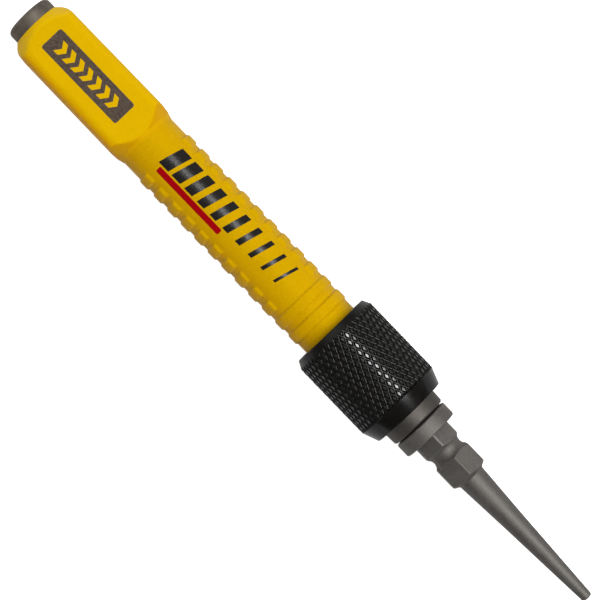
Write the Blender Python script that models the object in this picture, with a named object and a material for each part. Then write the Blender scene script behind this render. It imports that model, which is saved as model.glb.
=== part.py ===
"""Quick-release punch: a moulded handle on a steel bar, a spring collar, a reversible bit.

The tool lies along X. The origin is the centre of the working tip's flat face, +X runs to
the end that the hammer strikes, and +Z is the badge side of the square head.
Every piece is its own object. Pieces are drawn in the tool's frame, so each object's
origin is on the tool's axis, which is also the axis of every joint:
  collar_carrier (empty)  slides along +X, and carries the thrust washer
  collar_spinner (empty)  turns about X on the carrier, and carries the knurled collar
  bit_carrier    (empty)  slides along -X, and carries the bit
"""

import math

import bmesh
import bpy
from mathutils import Vector

MM = 0.001
SIDES = 32                 # facets round a turned piece
WIRE_SIDES = 6             # facets round a spring wire
FIT = 0.05 * MM            # radial clearance of pieces that slide or are pressed together
REST_GAP = 0.3 * MM        # end gap between pieces that rest on each other
SPRING_GAP = 0.2 * MM      # end gap between the spring, its washers and the bush
CUT_MARGIN = 0.1 * MM      # how far an outline stands off the surface that a cutter leaves
CUT_OVERRUN = 2.0 * MM     # how far a cutter runs past the solid that it cuts

# Reversible bit, measured from its working tip
HEX_FLATS = 7.8 * MM       # blasted 5/16 inch stock
TIP_RADIUS = 1.11 * MM
TIP_ROUNDING = 0.5 * MM
SPARE_TIP_RADIUS = 1.6 * MM
SHANK_RADIUS = 2.86 * MM   # thick end of each tapered shank
TAPER_LENGTH = 32.1 * MM
SHOULDER_LENGTH = 0.95 * MM
HEX_LENGTH = 29.4 * MM
GROOVE_FROM_HEX_END = 5.7 * MM
GROOVE_FLOOR_RADIUS = 3.32 * MM
GROOVE_ARC_RADIUS = 1.6 * MM

# Steel bar, stations along X
NOSE_X = 43.1 * MM
NOSE_SEAT_RADIUS = 5.2 * MM
NOSE_CHAMFER = 0.2 * MM
NOSE_SEAT_END_X = 46.4 * MM
BARREL_RADIUS = 5.5 * MM
CAGE_START_X = 53.5 * MM
CAGE_END_X = 60.0 * MM
CAGE_RADIUS = 6.3 * MM
GUIDE_RADIUS = 5.3 * MM
BAR_RADIUS = 4.96 * MM
WELL_RADIUS = 3.3 * MM     # round bore behind the socket that takes the spare tip
WELL_DEPTH_X = 97.5 * MM
STRIKE_X = 154.3 * MM
STRIKE_ROUNDING = 1.0 * MM
KEY_GROOVE_START_X = 127.0 * MM
KEY_GROOVE_END_X = 131.0 * MM
KEY_GROOVE_DEPTH = 0.5 * MM

# Nose ring and the wire that holds it
NOSE_RING_RADIUS = 6.0 * MM
NOSE_RING_END_X = 46.15 * MM
NOSE_RING_FRONT_ROUNDING = 0.6 * MM
NOSE_RING_REAR_ROUNDING = 0.35 * MM
SNAP_WIRE_RADIUS = 0.3 * MM
SNAP_RING_X = 44.6 * MM
SNAP_RING_RADIUS = 5.25 * MM
SNAP_RING_OPENING = 30.0   # degrees

# Lock ring: a three-lobed spring wire lying in the bar's slots
LOCK_WIRE_RADIUS = 0.5 * MM
LOCK_FLAT_RADIUS = 4.2 * MM      # wire centre over a flat of the hex, inside the bit's groove
LOCK_LOBE_RADIUS = 5.65 * MM     # wire centre between the slots
LOCK_SLOT_WIDTH = 1.2 * MM
LOCK_SLOT_FLOOR = 3.5 * MM       # distance of the slot floors from the axis
LOCK_GROOVE_FLOOR = 4.8 * MM
LOCK_OPENING = 40.0              # degrees
LOCK_FLAT_ANGLE = 30.0           # degrees from +Z to the first flat that the wire crosses

# Collar: shell and bush
COLLAR_FRONT_X = 49.2 * MM
COLLAR_REAR_X = 70.85 * MM
COLLAR_RADIUS = 9.2 * MM
COLLAR_FRONT_RADIUS = 7.95 * MM
COLLAR_FRONT_CONE = 3.3 * MM
COLLAR_REAR_RADIUS = 8.35 * MM
COLLAR_REAR_CONE = 1.65 * MM
COLLAR_LIP_BORE_RADIUS = 6.5 * MM
COLLAR_LIP_THICKNESS = 0.7 * MM
BUSH_RADIUS = 7.3 * MM
BUSH_FRONT_X = 46.45 * MM
BUSH_REAR_X = 60.3 * MM
BUSH_NOSE_RADIUS = 6.1 * MM
BUSH_NOSE_ROOT_RADIUS = 6.2 * MM
BUSH_NOSE_CHAMFER = 0.3 * MM
BUSH_NOSE_RECESS = 0.2 * MM      # depth of the nose's root behind the shell's front face
BUSH_RELIEF_START_X = 51.0 * MM
BUSH_RELIEF_END_X = 55.7 * MM
BUSH_RELIEF_RADIUS = 6.6 * MM

# Spring and its washers
SPRING_CAVITY_RADIUS = 7.15 * MM
SPRING_RADIUS = 6.2 * MM
SPRING_WIRE_RADIUS = 0.42 * MM
SPRING_END_PITCH = 0.95 * MM
SPRING_OPEN_TURNS = 3
WASHER_THICKNESS = 0.6 * MM
THRUST_WASHER_RADIUS = 6.95 * MM
SEAT_WASHER_RADIUS = 6.4 * MM

# Moulded handle
GRIP_FRONT_X = 69.9 * MM    # the sleeve starts inside the collar's rear lip
GRIP_RADIUS = 6.15 * MM
RIB_PITCH = 3.715 * MM
RIB_HEIGHT = 0.4 * MM
RIB_TOP_WIDTH = 1.7 * MM
RIB_BASE_WIDTH = 2.67 * MM
FIRST_RIB_X = 74.55 * MM
FULL_RIBS = 2
PAD_RIBS = 10
PAD_START_ANGLE = 48.6           # degrees from +Z to the middle of a side pad's end ramp
PAD_RAMP_ANGLE = 4.0
HEAD_FLATS = 13.0 * MM
HEAD_CORNER_RADIUS = 1.9 * MM
HEAD_START_X = 120.9 * MM
HEAD_FLATS_START_X = 122.0 * MM
HEAD_CORNERS_START_X = 124.4 * MM
HEAD_CHAMFER_X = 150.2 * MM      # where the end cone meets the flats
HEAD_END_RADIUS = 5.1 * MM

# Values that follow from the ones above
HEX_RADIUS = HEX_FLATS / math.sqrt(3)
HEX_START_X = TAPER_LENGTH + SHOULDER_LENGTH
HEX_END_X = HEX_START_X + HEX_LENGTH
BIT_LENGTH = HEX_END_X + SHOULDER_LENGTH + TAPER_LENGTH
OUTER_GROOVE_X = HEX_START_X + GROOVE_FROM_HEX_END
INNER_GROOVE_X = HEX_END_X - GROOVE_FROM_HEX_END
HEAD_HALF = HEAD_FLATS / 2
HEAD_CORNER_REACH = (HEAD_HALF - HEAD_CORNER_RADIUS) * math.sqrt(2) + HEAD_CORNER_RADIUS
HEAD_END_X = HEAD_CHAMFER_X + HEAD_HALF - HEAD_END_RADIUS
SPRING_SEAT_X = GRIP_FRONT_X - REST_GAP - WASHER_THICKNESS
THRUST_WASHER_X = BUSH_REAR_X + SPRING_GAP
SPRING_START_X = THRUST_WASHER_X + WASHER_THICKNESS + SPRING_GAP
SPRING_END_X = SPRING_SEAT_X - SPRING_GAP


def remove_old_objects():
    for old in list(bpy.data.objects):
        bpy.data.objects.remove(old, do_unlink=True)


def make_material(name, colour, roughness, metallic):
    """A Principled material; colour is linear RGB."""
    material = bpy.data.materials.new(name)
    material.use_nodes = True
    shader = material.node_tree.nodes["Principled BSDF"]
    shader.inputs["Base Color"].default_value = (*colour, 1.0)
    shader.inputs["Roughness"].default_value = roughness
    shader.inputs["Metallic"].default_value = metallic
    return material


def make_object(name, bm, material=None, parent=None):
    """Turn a bmesh into an object, smooth across its shallow edges."""
    bmesh.ops.recalc_face_normals(bm, faces=bm.faces)
    mesh = bpy.data.meshes.new(name)
    bm.to_mesh(mesh)
    bm.free()
    mesh.shade_smooth()
    mesh.set_sharp_from_angle(angle=math.radians(30))
    if material:
        mesh.materials.append(material)
    made = bpy.data.objects.new(name, mesh)
    bpy.context.collection.objects.link(made)
    made.parent = parent
    return made


def make_carrier(name, parent=None):
    """An empty on the tool's axis that a joint moves."""
    carrier = bpy.data.objects.new(name, None)
    carrier.empty_display_size = 10 * MM
    bpy.context.collection.objects.link(carrier)
    carrier.parent = parent
    return carrier


def combine(target, tool, operation):
    """Boolean a helper solid into the target, and hide the helper."""
    tool.hide_render = True
    tool.display_type = "WIRE"
    modifier = target.modifiers.new(operation.lower() + "_" + tool.name, "BOOLEAN")
    modifier.operation = operation
    modifier.object = tool
    modifier.solver = "EXACT"


def arc(centre_x, centre_r, radius, start, end, steps):
    """Points of an arc in the (x, r) plane; angles in degrees from +x towards +r."""
    points = []
    for step in range(steps + 1):
        angle = math.radians(start + (end - start) * step / steps)
        points.append((centre_x + radius * math.cos(angle), centre_r + radius * math.sin(angle)))
    return points


def turned(name, outline, material=None, parent=None, closed=True):
    """Spin an (x, r) outline about X; an open outline starts and ends on the axis."""
    bm = bmesh.new()
    verts = [bm.verts.new((x, 0, r)) for x, r in outline]
    edges = [bm.edges.new(pair) for pair in zip(verts, verts[1:])]
    if closed:
        edges.append(bm.edges.new((verts[-1], verts[0])))
    bmesh.ops.spin(
        bm,
        geom=verts + edges,
        cent=(0, 0, 0),
        axis=(-1, 0, 0),
        angle=2 * math.pi,
        steps=SIDES,
        use_merge=True,
        use_duplicate=False,
    )
    bmesh.ops.remove_doubles(bm, verts=bm.verts, dist=0.00001 * MM)
    return make_object(name, bm, material, parent)


def bridge(bm, first, second):
    """Faces between two rings of verts with the same count."""
    for index in range(len(first)):
        following = (index + 1) % len(first)
        bm.faces.new((first[index], second[index], second[following], first[following]))


def lofted(name, rings, material=None):
    """A tube through rings of points, the last ring joined back to the first."""
    bm = bmesh.new()
    loops = [[bm.verts.new(point) for point in ring] for ring in rings]
    for first, second in zip(loops, loops[1:] + loops[:1]):
        bridge(bm, first, second)
    return make_object(name, bm, material)


def prism(name, outline, start_x, end_x, material=None):
    """A straight bar along X with a (y, z) outline."""
    bm = bmesh.new()
    face = bm.faces.new([bm.verts.new((start_x, y, z)) for y, z in outline])
    grown = bmesh.ops.extrude_face_region(bm, geom=[face])["geom"]
    moved = [item for item in grown if isinstance(item, bmesh.types.BMVert)]
    bmesh.ops.translate(bm, verts=moved, vec=(end_x - start_x, 0, 0))
    return make_object(name, bm, material)


def hex_outline(radius):
    """A hexagon with a corner towards +Z."""
    return [
        (radius * math.sin(math.radians(60 * k)), radius * math.cos(math.radians(60 * k)))
        for k in range(6)
    ]


def wire_piece(name, path, wire_radius, material, parent=None):
    """A round wire along a path that runs about the X axis, with flat ends."""
    bm = bmesh.new()
    rings = []
    for index, point in enumerate(path):
        before = path[max(index - 1, 0)]
        after = path[min(index + 1, len(path) - 1)]
        along = (after - before).normalized()
        outward = Vector((0, point.y, point.z)).normalized()
        outward = (outward - along * outward.dot(along)).normalized()
        across = along.cross(outward)
        ring = []
        for side in range(WIRE_SIDES):
            angle = 2 * math.pi * side / WIRE_SIDES
            offset = outward * math.cos(angle) + across * math.sin(angle)
            ring.append(bm.verts.new(point + offset * wire_radius))
        rings.append(ring)
    for first, second in zip(rings, rings[1:]):
        bridge(bm, first, second)
    bm.faces.new(rings[0])
    bm.faces.new(reversed(rings[-1]))
    return make_object(name, bm, material, parent)


def make_bit(steel, carrier):
    """Double-ended bit: a hexagon with two grooves, and a tapered punch at each end."""
    clear_radius = HEX_RADIUS + CUT_MARGIN
    groove_centre = GROOVE_FLOOR_RADIUS + GROOVE_ARC_RADIUS
    reach = math.degrees(math.asin((groove_centre - clear_radius) / GROOVE_ARC_RADIUS))
    outline = [(0, 0)]
    outline += arc(TIP_ROUNDING, TIP_RADIUS - TIP_ROUNDING, TIP_ROUNDING, 180, 95, 2)
    outline.append((TAPER_LENGTH, SHANK_RADIUS))
    outline.append((HEX_START_X, clear_radius))
    for groove_x in (OUTER_GROOVE_X, INNER_GROOVE_X):
        outline += arc(groove_x, groove_centre, GROOVE_ARC_RADIUS, 180 + reach, 360 - reach, 6)
    outline.append((HEX_END_X, clear_radius))
    outline.append((HEX_END_X + SHOULDER_LENGTH, SHANK_RADIUS))
    outline += arc(
        BIT_LENGTH - TIP_ROUNDING, SPARE_TIP_RADIUS - TIP_ROUNDING, TIP_ROUNDING, 85, 0, 2
    )
    outline.append((BIT_LENGTH, 0))
    bit = turned("punch_bit", outline, steel, carrier, closed=False)
    hexagon = prism(
        "bit_hexagon", hex_outline(HEX_RADIUS), -CUT_OVERRUN, BIT_LENGTH + CUT_OVERRUN
    )
    combine(bit, hexagon, "INTERSECT")
    return bit


def make_lock_cutter():
    """Slots for the lock ring: what is left of the wall inside is a rounded triangle."""
    inner = []
    steps = 72
    for step in range(steps):
        angle = 360 * step / steps
        from_flat = math.radians((angle - LOCK_FLAT_ANGLE + 60) % 120 - 60)
        radius = min(LOCK_SLOT_FLOOR / math.cos(from_flat), LOCK_GROOVE_FLOOR)
        inner.append((radius * math.sin(math.radians(angle)), radius * math.cos(math.radians(angle))))
    half = LOCK_SLOT_WIDTH / 2
    start_x = INNER_GROOVE_X - half
    end_x = INNER_GROOVE_X + half
    outer_radius = CAGE_RADIUS + CUT_OVERRUN
    rim = [(start_x, 0), (start_x, outer_radius), (end_x, outer_radius), (end_x, 0)]
    cutter = turned("lock_slots", rim, closed=False)
    kept = prism("lock_slot_centre", inner, start_x - half, end_x + half)
    combine(cutter, kept, "DIFFERENCE")
    return cutter


def make_core(steel):
    """The bar: nose barrel with a hexagon socket, cage for the lock ring, struck end."""
    outline = [
        (NOSE_X, 0),
        (NOSE_X, NOSE_SEAT_RADIUS - NOSE_CHAMFER),
        (NOSE_X + NOSE_CHAMFER, NOSE_SEAT_RADIUS),
    ]
    outline += snap_groove(NOSE_SEAT_RADIUS, SNAP_RING_RADIUS - SNAP_WIRE_RADIUS - FIT)
    outline += [
        (NOSE_SEAT_END_X, NOSE_SEAT_RADIUS),
        (NOSE_SEAT_END_X, BARREL_RADIUS),
        (CAGE_START_X, BARREL_RADIUS),
        (CAGE_START_X, CAGE_RADIUS),
        (CAGE_END_X, CAGE_RADIUS),
        (CAGE_END_X, GUIDE_RADIUS),
        (GRIP_FRONT_X - REST_GAP, GUIDE_RADIUS),
        (GRIP_FRONT_X - REST_GAP, BAR_RADIUS),
        (KEY_GROOVE_START_X, BAR_RADIUS),
        (KEY_GROOVE_START_X + KEY_GROOVE_DEPTH, BAR_RADIUS - KEY_GROOVE_DEPTH),
        (KEY_GROOVE_END_X - KEY_GROOVE_DEPTH, BAR_RADIUS - KEY_GROOVE_DEPTH),
        (KEY_GROOVE_END_X, BAR_RADIUS),
    ]
    outline += arc(
        STRIKE_X - STRIKE_ROUNDING, BAR_RADIUS - STRIKE_ROUNDING, STRIKE_ROUNDING, 90, 0, 3
    )
    outline.append((STRIKE_X, 0))
    core = turned("core", outline, steel, closed=False)
    socket_radius = (HEX_FLATS / 2 + FIT) / math.cos(math.radians(30))
    floor_x = HEX_END_X + SHOULDER_LENGTH + FIT
    socket = prism("socket", hex_outline(socket_radius), NOSE_X - CUT_OVERRUN, floor_x)
    combine(core, socket, "DIFFERENCE")
    well = [(floor_x - CUT_OVERRUN, 0), (floor_x - CUT_OVERRUN, WELL_RADIUS)]
    well += [(WELL_DEPTH_X, WELL_RADIUS), (WELL_DEPTH_X + WELL_RADIUS / 2, 0)]
    combine(core, turned("well", well, closed=False), "DIFFERENCE")
    combine(core, make_lock_cutter(), "DIFFERENCE")
    return core


def snap_groove(surface_radius, floor_radius):
    """Square groove in the nose seat or in the nose ring's bore, for the snap ring."""
    half = SNAP_WIRE_RADIUS + FIT
    return [
        (SNAP_RING_X - half, surface_radius),
        (SNAP_RING_X - half, floor_radius),
        (SNAP_RING_X + half, floor_radius),
        (SNAP_RING_X + half, surface_radius),
    ]


def make_nose_ring(steel):
    """Rounded ring on the nose that keeps the collar on the bar."""
    front = NOSE_RING_FRONT_ROUNDING
    rear = NOSE_RING_REAR_ROUNDING
    bore = NOSE_SEAT_RADIUS + FIT
    outline = arc(NOSE_X + front, NOSE_RING_RADIUS - front, front, 180, 90, 3)
    outline += arc(NOSE_RING_END_X - rear, NOSE_RING_RADIUS - rear, rear, 90, 0, 3)
    outline.append((NOSE_RING_END_X, bore))
    outline += reversed(snap_groove(bore, SNAP_RING_RADIUS + SNAP_WIRE_RADIUS + FIT))
    outline.append((NOSE_X, bore))
    return turned("nose_ring", outline, steel)


def make_snap_ring(steel):
    """Open wire ring half in the bar's groove and half in the nose ring's groove."""
    steps = 24
    path = []
    for step in range(steps + 1):
        angle = math.radians(SNAP_RING_OPENING / 2 + (360 - SNAP_RING_OPENING) * step / steps)
        radial = Vector((0, math.sin(angle), math.cos(angle)))
        path.append(Vector((SNAP_RING_X, 0, 0)) + radial * SNAP_RING_RADIUS)
    return wire_piece("nose_snap_ring", path, SNAP_WIRE_RADIUS, steel)


def make_lock_ring(steel):
    """Open three-lobed wire: its near stretches drop into the bit's inner groove."""
    middle = (LOCK_FLAT_RADIUS + LOCK_LOBE_RADIUS) / 2
    swing = (LOCK_LOBE_RADIUS - LOCK_FLAT_RADIUS) / 2
    steps = 48
    path = []
    for step in range(steps + 1):
        turn = (LOCK_OPENING / 2 - LOCK_FLAT_ANGLE) + (360 - LOCK_OPENING) * step / steps
        angle = math.radians(turn)
        radius = middle - swing * math.cos(3 * (angle - math.radians(LOCK_FLAT_ANGLE)))
        radial = Vector((0, math.sin(angle), math.cos(angle)))
        path.append(Vector((INNER_GROOVE_X, 0, 0)) + radial * radius)
    return wire_piece("lock_ring", path, LOCK_WIRE_RADIUS, steel)


def make_collar_shell(steel, spinner):
    """Knurled collar's body, as a plain turned shell with its cones and bores."""
    shoulder_x = BUSH_REAR_X + REST_GAP
    outline = [
        (COLLAR_FRONT_X, COLLAR_FRONT_RADIUS),
        (COLLAR_FRONT_X + COLLAR_FRONT_CONE, COLLAR_RADIUS),
        (COLLAR_REAR_X - COLLAR_REAR_CONE, COLLAR_RADIUS),
        (COLLAR_REAR_X, COLLAR_REAR_RADIUS),
        (COLLAR_REAR_X, COLLAR_LIP_BORE_RADIUS),
        (COLLAR_REAR_X - COLLAR_LIP_THICKNESS, COLLAR_LIP_BORE_RADIUS),
        (COLLAR_REAR_X - COLLAR_LIP_THICKNESS, SPRING_CAVITY_RADIUS),
        (shoulder_x, SPRING_CAVITY_RADIUS),
        (shoulder_x, BUSH_RADIUS + FIT),
        (COLLAR_FRONT_X, BUSH_RADIUS + FIT),
    ]
    return turned("collar_shell", outline, steel, spinner)


def make_collar_bush(steel, spinner):
    """Bush pressed into the shell: nose ring of the collar in front, lock land behind."""
    root_x = COLLAR_FRONT_X + BUSH_NOSE_RECESS
    nose_bore = BARREL_RADIUS + FIT
    land_bore = CAGE_RADIUS + FIT
    outline = [
        (BUSH_FRONT_X, BUSH_NOSE_RADIUS - BUSH_NOSE_CHAMFER),
        (BUSH_FRONT_X + BUSH_NOSE_CHAMFER, BUSH_NOSE_RADIUS),
        (root_x, BUSH_NOSE_ROOT_RADIUS),
        (root_x, BUSH_RADIUS),
        (BUSH_REAR_X, BUSH_RADIUS),
        (BUSH_REAR_X, land_bore),
        (BUSH_RELIEF_END_X, land_bore),
        (BUSH_RELIEF_END_X - (BUSH_RELIEF_RADIUS - land_bore), BUSH_RELIEF_RADIUS),
        (BUSH_RELIEF_START_X, BUSH_RELIEF_RADIUS),
        (BUSH_RELIEF_START_X, nose_bore),
        (BUSH_FRONT_X, nose_bore),
    ]
    return turned("collar_bush", outline, steel, spinner)


def make_washer(name, front_x, radius, bore, steel, parent=None):
    back_x = front_x + WASHER_THICKNESS
    outline = [(front_x, radius), (back_x, radius), (back_x, bore), (front_x, bore)]
    return turned(name, outline, steel, parent)


def make_spring(steel):
    """Compression spring: one closed turn at each end and open turns between."""
    steps_per_turn = 16
    turns = SPRING_OPEN_TURNS + 2
    free_length = SPRING_END_X - SPRING_START_X - 2 * SPRING_WIRE_RADIUS
    open_pitch = (free_length - 2 * SPRING_END_PITCH) / SPRING_OPEN_TURNS
    path = []
    x = SPRING_START_X + SPRING_WIRE_RADIUS
    for step in range(turns * steps_per_turn + 1):
        angle = 2 * math.pi * step / steps_per_turn
        radial = Vector((0, math.sin(angle), math.cos(angle)))
        path.append(Vector((x, 0, 0)) + radial * SPRING_RADIUS)
        turn = (step + 0.5) / steps_per_turn
        pitch = open_pitch if 1 < turn < turns - 1 else SPRING_END_PITCH
        x += pitch / steps_per_turn
    return wire_piece("collar_spring", path, SPRING_WIRE_RADIUS, steel)


def rounded_square():
    """(y, z) outline of the head: flats facing Y and Z, rounded corners."""
    inset = HEAD_HALF - HEAD_CORNER_RADIUS
    points = []
    for quarter in range(4):
        middle = 45 + 90 * quarter
        centre_y = inset * math.copysign(1, math.cos(math.radians(middle)))
        centre_z = inset * math.copysign(1, math.sin(math.radians(middle)))
        points += arc(centre_y, centre_z, HEAD_CORNER_RADIUS, middle - 45, middle + 45, 4)
    return points


def handle_angles():
    """Degrees from +Z round the handle, with a pair at both ends of each side pad's ramps."""
    ramp_start = PAD_START_ANGLE - PAD_RAMP_ANGLE / 2
    ramp_end = PAD_START_ANGLE + PAD_RAMP_ANGLE / 2
    steps = 8
    angles = []
    for side in (0, 180):
        for step in range(steps + 1):
            angles.append(side - ramp_start + 2 * ramp_start * step / steps)
        for step in range(steps + 1):
            angles.append(side + ramp_end + (180 - 2 * ramp_end) * step / steps)
    return angles


def on_pad(angle):
    from_side = abs((angle % 180) - 90)
    return from_side < 90 - PAD_START_ANGLE


def handle_ring(x, radius, pad_height=0.0):
    """One cross-section of the handle; pads stand proud on its +Y and -Y sides."""
    points = []
    for angle in handle_angles():
        reach = radius + (pad_height if on_pad(angle) else 0)
        turn = math.radians(angle)
        points.append((x, reach * math.sin(turn), reach * math.cos(turn)))
    return points


def rib_rings(index):
    """Four sections of a rib: the first ribs are full rings, the others are side pads."""
    middle = FIRST_RIB_X + index * RIB_PITCH
    full = index < FULL_RIBS
    top_radius = GRIP_RADIUS + (RIB_HEIGHT if full else 0)
    pad_height = 0 if full else RIB_HEIGHT
    return [
        handle_ring(middle - RIB_BASE_WIDTH / 2, GRIP_RADIUS),
        handle_ring(middle - RIB_TOP_WIDTH / 2, top_radius, pad_height),
        handle_ring(middle + RIB_TOP_WIDTH / 2, top_radius, pad_height),
        handle_ring(middle + RIB_BASE_WIDTH / 2, GRIP_RADIUS),
    ]


def make_grip(plastic):
    """Moulded handle: a ribbed sleeve that swells to a head, squared by four flats.

    The handle is a tube of rings, out along its outside and back along its bore.
    The sleeve and its ribs fit inside the head's square, so one cut makes the flats.
    """
    outer = HEAD_CORNER_REACH + CUT_OVERRUN
    shoulder_run = HEAD_CORNERS_START_X - HEAD_FLATS_START_X
    shoulder_slope = (HEAD_CORNER_REACH - HEAD_HALF) / shoulder_run
    bore = BAR_RADIUS + FIT
    key_floor = bore - KEY_GROOVE_DEPTH
    rings = [handle_ring(GRIP_FRONT_X, GRIP_RADIUS)]
    for index in range(FULL_RIBS + PAD_RIBS):
        rings += rib_rings(index)
    rings += [
        handle_ring(HEAD_START_X, GRIP_RADIUS),
        handle_ring(HEAD_FLATS_START_X, HEAD_HALF),
        handle_ring(HEAD_FLATS_START_X + (outer - HEAD_HALF) / shoulder_slope, outer),
        handle_ring(HEAD_CHAMFER_X - (outer - HEAD_HALF), outer),
        handle_ring(HEAD_END_X, HEAD_END_RADIUS),
        handle_ring(HEAD_END_X, bore),
        handle_ring(KEY_GROOVE_END_X - FIT, bore),
        handle_ring(KEY_GROOVE_END_X - FIT - KEY_GROOVE_DEPTH, key_floor),
        handle_ring(KEY_GROOVE_START_X + FIT + KEY_GROOVE_DEPTH, key_floor),
        handle_ring(KEY_GROOVE_START_X + FIT, bore),
        handle_ring(GRIP_FRONT_X, bore),
    ]
    grip = lofted("grip", rings, plastic)
    square = prism(
        "head_square", rounded_square(), GRIP_FRONT_X - CUT_OVERRUN, HEAD_END_X + CUT_OVERRUN
    )
    combine(grip, square, "INTERSECT")
    return grip


def build():
    remove_old_objects()
    blasted_steel = make_material("blasted_steel", (0.13, 0.12, 0.11), 0.5, 1.0)
    bar_steel = make_material("bar_steel", (0.11, 0.095, 0.09), 0.45, 1.0)
    black_oxide = make_material("black_oxide", (0.012, 0.011, 0.010), 0.35, 0.6)
    spring_steel = make_material("spring_steel", (0.35, 0.34, 0.33), 0.3, 1.0)
    yellow_plastic = make_material("yellow_plastic", (0.70, 0.41, 0.003), 0.4, 0.0)

    collar_carrier = make_carrier("collar_carrier")
    collar_spinner = make_carrier("collar_spinner", collar_carrier)
    bit_carrier = make_carrier("bit_carrier")

    make_core(bar_steel)
    make_grip(yellow_plastic)
    make_nose_ring(blasted_steel)
    make_snap_ring(spring_steel)
    make_lock_ring(spring_steel)
    make_collar_shell(black_oxide, collar_spinner)
    make_collar_bush(blasted_steel, collar_spinner)
    washer_bore = GUIDE_RADIUS + FIT
    make_washer(
        "thrust_washer", THRUST_WASHER_X, THRUST_WASHER_RADIUS, washer_bore, spring_steel,
        collar_carrier,
    )
    make_washer("spring_seat_washer", SPRING_SEAT_X, SEAT_WASHER_RADIUS, washer_bore, spring_steel)
    make_spring(spring_steel)
    make_bit(blasted_steel, bit_carrier)


build()
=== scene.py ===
"""Looks of the quick-release punch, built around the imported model.

Everything is in metres in the model's frame: the tool lies along X, with the working tip's
face at x = 0, the struck end at +X and the badge side of the square head towards +Z.
"""
import math

import bmesh
import bpy
import numpy as np
from mathutils import Matrix, Vector


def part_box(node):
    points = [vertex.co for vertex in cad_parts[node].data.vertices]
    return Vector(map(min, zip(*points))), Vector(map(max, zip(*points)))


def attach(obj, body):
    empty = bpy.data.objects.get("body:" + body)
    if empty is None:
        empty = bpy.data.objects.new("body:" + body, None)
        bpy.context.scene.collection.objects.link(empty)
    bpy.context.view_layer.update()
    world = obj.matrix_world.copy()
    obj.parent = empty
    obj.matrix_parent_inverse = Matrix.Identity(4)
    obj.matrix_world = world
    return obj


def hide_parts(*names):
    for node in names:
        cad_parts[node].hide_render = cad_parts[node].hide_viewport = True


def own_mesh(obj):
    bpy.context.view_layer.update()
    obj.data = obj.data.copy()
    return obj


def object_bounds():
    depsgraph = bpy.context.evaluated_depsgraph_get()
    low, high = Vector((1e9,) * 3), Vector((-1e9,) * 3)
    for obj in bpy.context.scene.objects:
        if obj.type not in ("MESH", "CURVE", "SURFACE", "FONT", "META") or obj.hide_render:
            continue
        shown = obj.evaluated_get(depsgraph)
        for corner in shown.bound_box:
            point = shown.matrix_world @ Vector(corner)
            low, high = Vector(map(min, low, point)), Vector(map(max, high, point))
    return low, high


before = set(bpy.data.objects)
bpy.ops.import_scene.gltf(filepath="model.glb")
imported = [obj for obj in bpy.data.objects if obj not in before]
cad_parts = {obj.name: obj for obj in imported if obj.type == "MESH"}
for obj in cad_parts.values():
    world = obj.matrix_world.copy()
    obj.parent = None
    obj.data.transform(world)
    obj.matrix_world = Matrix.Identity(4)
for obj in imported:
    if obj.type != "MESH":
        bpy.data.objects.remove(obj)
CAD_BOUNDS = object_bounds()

MM = 0.001
FULL = 2 * math.pi
AXIS_RADIUS = 1e-7                 # stands for zero, so that a ring of points keeps its order

# ---------------------------------------------------------------- sizes, from the frame

BIT_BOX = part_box("punch_bit")
CORE_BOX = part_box("core")
GRIP_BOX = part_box("grip")
SHELL_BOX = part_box("collar_shell")
BUSH_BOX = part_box("collar_bush")
NOSE_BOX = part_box("nose_ring")
SPRING_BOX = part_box("collar_spring")

BIT_LENGTH = BIT_BOX[1].x
HEX_FLATS = 2 * BIT_BOX[1].y
HEX_CORNERS = [math.radians(60 * k) for k in range(6)]
HEX_CORNER_GAP = 0.1 * MM           # turned outlines reach this far past the corners
HEX_EDGE = 0.22 * MM               # rounding of the long edges
HEX_END_BLEND = 0.1 * MM           # rounding between the flats and the turned ends
HEX_SPACING = 0.09 * MM            # mesh step along the ends
SOCKET_CLEARANCE = 0.05 * MM
SOCKET_EDGE = 0.12 * MM
MOUTH_DEPTH = 0.35 * MM            # lead-in cone of the socket
MOUTH_RADIUS = 4.95 * MM
MOUTH_SLOPE = 1.2
MOUTH_BLEND = 0.05 * MM
MOUTH_STEPS = 8
TIP_RADIUS = 1.11 * MM
SPARE_TIP_RADIUS = 1.6 * MM
SHANK_RADIUS = 2.86 * MM
TAPER_LENGTH = 32.1 * MM
TAPER_WAIST_X = 21.0 * MM          # the taper is a little steeper behind this point
TAPER_WAIST_SINK = 0.06 * MM
SHOULDER_LENGTH = 0.95 * MM
GROOVE_FROM_HEX_END = 5.7 * MM
GROOVE_FLOOR_RADIUS = 3.32 * MM
GROOVE_ARC_RADIUS = 1.6 * MM
HEX_START_X = TAPER_LENGTH + SHOULDER_LENGTH
HEX_END_X = BIT_LENGTH - HEX_START_X
LOCK_X = HEX_END_X - GROOVE_FROM_HEX_END

NOSE_X = CORE_BOX[0].x
STRIKE_X = CORE_BOX[1].x
CAGE_RADIUS = CORE_BOX[1].z
CAGE_START_X = 53.5 * MM
CAGE_END_X = 60.0 * MM
BAR_RADIUS = 4.96 * MM
NOSE_SEAT_RADIUS = 5.2 * MM
NOSE_SEAT_END_X = 46.4 * MM
NOSE_BORE_EDGE_RADIUS = 5.0 * MM   # inner edge of the core's front face
SNAP_GROOVE_START_X = 44.25 * MM
SNAP_GROOVE_END_X = 44.95 * MM
SNAP_GROOVE_FLOOR = 4.9 * MM       # in the core
SNAP_GROOVE_ROOF = 5.6 * MM        # in the nose ring
BARREL_RADIUS = 5.5 * MM
GUIDE_RADIUS = 5.3 * MM
GUIDE_END_GAP = 0.3 * MM           # the guide ends this far ahead of the grip
WELL_RADIUS = 3.3 * MM
WELL_END_X = 97.5 * MM
FIT = 0.05 * MM

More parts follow.
